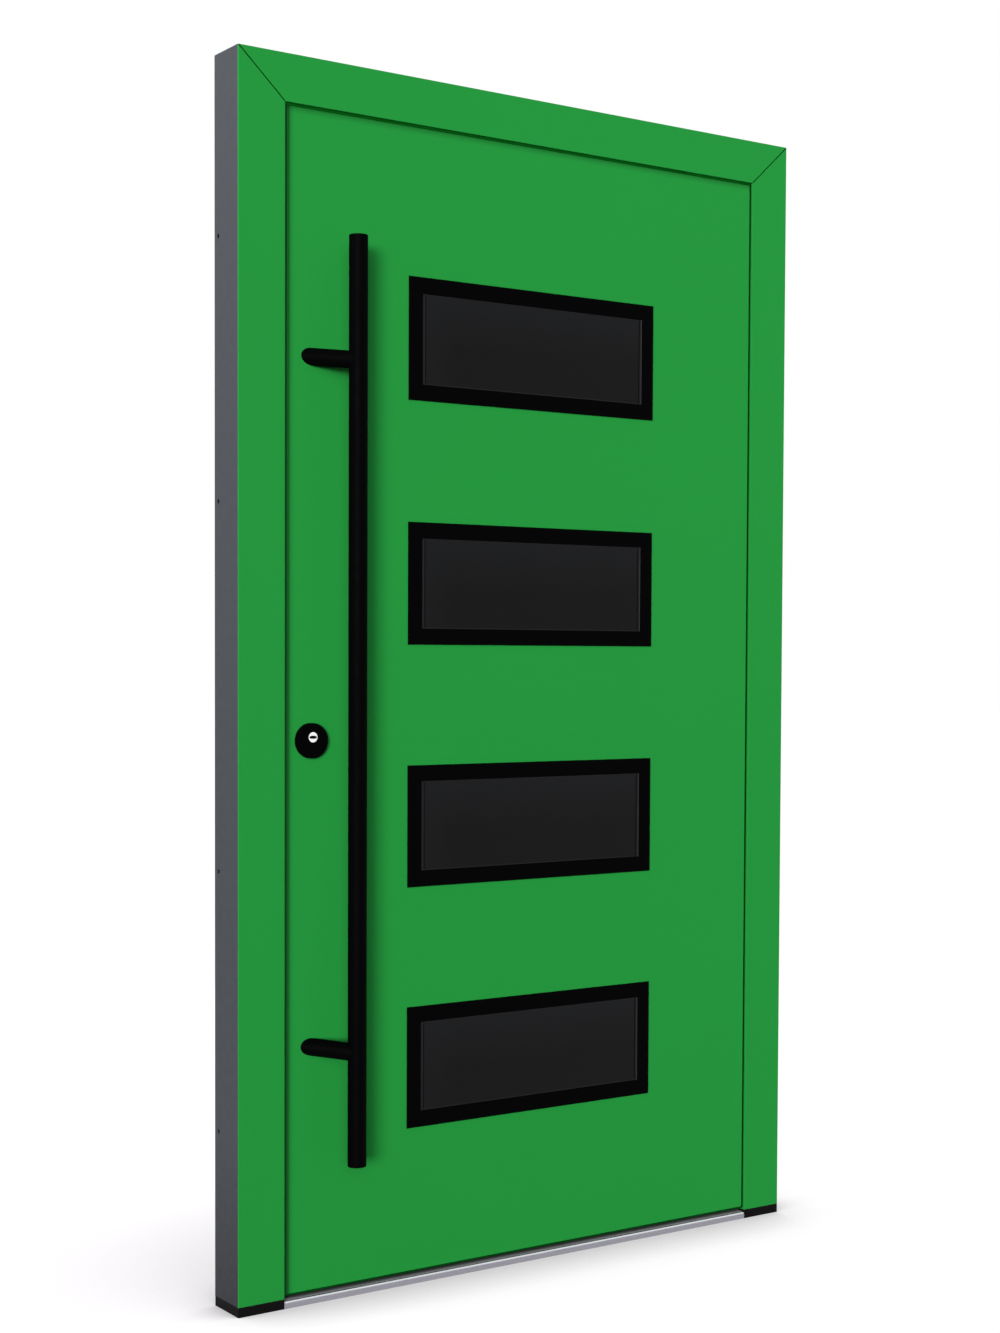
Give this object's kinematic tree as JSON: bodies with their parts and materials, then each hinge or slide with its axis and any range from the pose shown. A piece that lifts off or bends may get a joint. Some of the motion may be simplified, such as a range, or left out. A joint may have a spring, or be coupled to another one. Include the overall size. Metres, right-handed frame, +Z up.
{
  "type": "flush aluminium front door set with glazed lites",
  "caption": "Front door set: an aluminium frame with a flush leaf, horizontal glazed lites, a long pull bar, a lock cylinder and a low threshold.",
  "frame": {"origin": "on the underside of the threshold, halfway between the jambs and halfway through the frame's depth", "axes": "+X to the hinge side, +Y into the room, +Z up"},
  "size_m": [1.2, 0.2235, 2.1],
  "materials": {
    "green_powder_coat": "fine-textured green powder coat",
    "grey_powder_coat": "fine-textured slate grey powder coat",
    "black_powder_coat": "matt black powder coat",
    "satin_steel": "fine brushed stainless steel",
    "zinc_steel": "zinc-plated steel",
    "satin_nickel": "satin nickel on brass",
    "bare_aluminium": "silver anodised",
    "black_plastic": "moulded or extruded black plastic",
    "seal_rubber": "soft black weather seal",
    "core_foam": "rigid insulating foam",
    "dark_glass": "dark tinted, clear surface"
  },
  "bodies": {
    "frame": {"jamb_lock_outer": "grey_powder_coat", "jamb_lock_inner": "grey_powder_coat", "jamb_hinge_outer": "grey_powder_coat", "jamb_hinge_inner": "grey_powder_coat", "head_outer": "grey_powder_coat", "head_inner": "grey_powder_coat", "thermal_strips": "grey_powder_coat", "cover_jamb_lock": "green_powder_coat", "cover_jamb_hinge": "green_powder_coat", "cover_head": "green_powder_coat", "corner_cleats": "bare_aluminium", "foot_blocks": "black_plastic", "sill_outer": "bare_aluminium", "sill_break": "black_plastic", "sill_inner": "bare_aluminium", "frame_gasket": "seal_rubber", "strike_housing": "zinc_steel", "bolt_keeps": "zinc_steel", "hinge_frame_plates": "satin_steel", "hinge_pins": "satin_steel", "hinge_screws_frame": "zinc_steel"},
    "leaf": {"skin_outer": "green_powder_coat", "skin_inner": "grey_powder_coat", "core_foam": "core_foam", "stile_lock": "grey_powder_coat", "stile_hinge": "grey_powder_coat", "rail_top": "grey_powder_coat", "rail_bottom": "grey_powder_coat", "bottom_seal": "seal_rubber", "trim_outer_1": "black_powder_coat", "trim_outer_2": "black_powder_coat", "trim_outer_3": "black_powder_coat", "trim_outer_4": "black_powder_coat", "trim_inner_1": "grey_powder_coat", "trim_inner_2": "grey_powder_coat", "trim_inner_3": "grey_powder_coat", "trim_inner_4": "grey_powder_coat", "glass_unit_1": "dark_glass", "glass_unit_2": "dark_glass", "glass_unit_3": "dark_glass", "glass_unit_4": "dark_glass", "glass_spacers": "bare_aluminium", "pull_bar": "black_powder_coat", "pull_posts": "black_powder_coat", "pull_bolts": "zinc_steel", "lock_body": "zinc_steel", "rosette_outer": "black_powder_coat", "rosette_inner": "satin_steel", "cylinder_body": "satin_nickel", "lever_rose": "satin_steel", "hinge_leaf_plates": "satin_steel", "hinge_screws_leaf": "zinc_steel"},
    "lever": {"lever": "satin_steel", "spindle": "zinc_steel"},
    "latch": {"latch": "zinc_steel"},
    "cylinder": {"cylinder_plug": "satin_nickel", "thumbturn": "satin_steel"},
    "bolts": {"bolts": "zinc_steel"},
    "drive_rods": {"drive_rods": "zinc_steel"},
    "keeper": {"strike_keeper": "zinc_steel"}
  },
  "joints": [
    {"name": "leaf_swing", "type": "hinge", "parent": "frame", "child": "leaf", "pos_m": [0.5305, 0.0545, 1.05], "axis": [0, 0, -1], "range_deg": [0, 100]},
    {"name": "lever_turn", "type": "hinge", "parent": "leaf", "child": "lever", "pos_m": [-0.463, 0.05, 1.058], "axis": [0, 1, 0], "range_deg": [0, 45], "stiffness_Nm_per_rad": 1.2, "springref_deg": -57.3},
    {"name": "latch_slide", "type": "slide", "parent": "leaf", "child": "latch", "axis": [1, 0, 0], "range_m": [0, 0.016]},
    {"name": "cylinder_turn", "type": "hinge", "parent": "leaf", "child": "cylinder", "pos_m": [-0.463, 0, 0.966], "axis": [0, 1, 0], "range_deg": [0, 370]},
    {"name": "bolt_slide", "type": "slide", "parent": "leaf", "child": "bolts", "axis": [-1, 0, 0], "range_m": [0, 0.02]},
    {"name": "rod_slide", "type": "slide", "parent": "leaf", "child": "drive_rods", "axis": [0, 0, 1], "range_m": [0, 0.021]},
    {"name": "keeper_swing", "type": "hinge", "parent": "frame", "child": "keeper", "pos_m": [-0.554, 0.0245, 1.072], "axis": [0, 0, -1], "range_deg": [0, 90]}
  ],
  "couplings": [
    {"joint": "latch_slide", "follows": "lever_turn", "m_per_rad": 0.02035},
    {"joint": "cylinder_turn", "follows": "bolt_slide", "rad_per_m": 314.1},
    {"joint": "rod_slide", "follows": "bolt_slide", "ratio": 1}
  ]
}
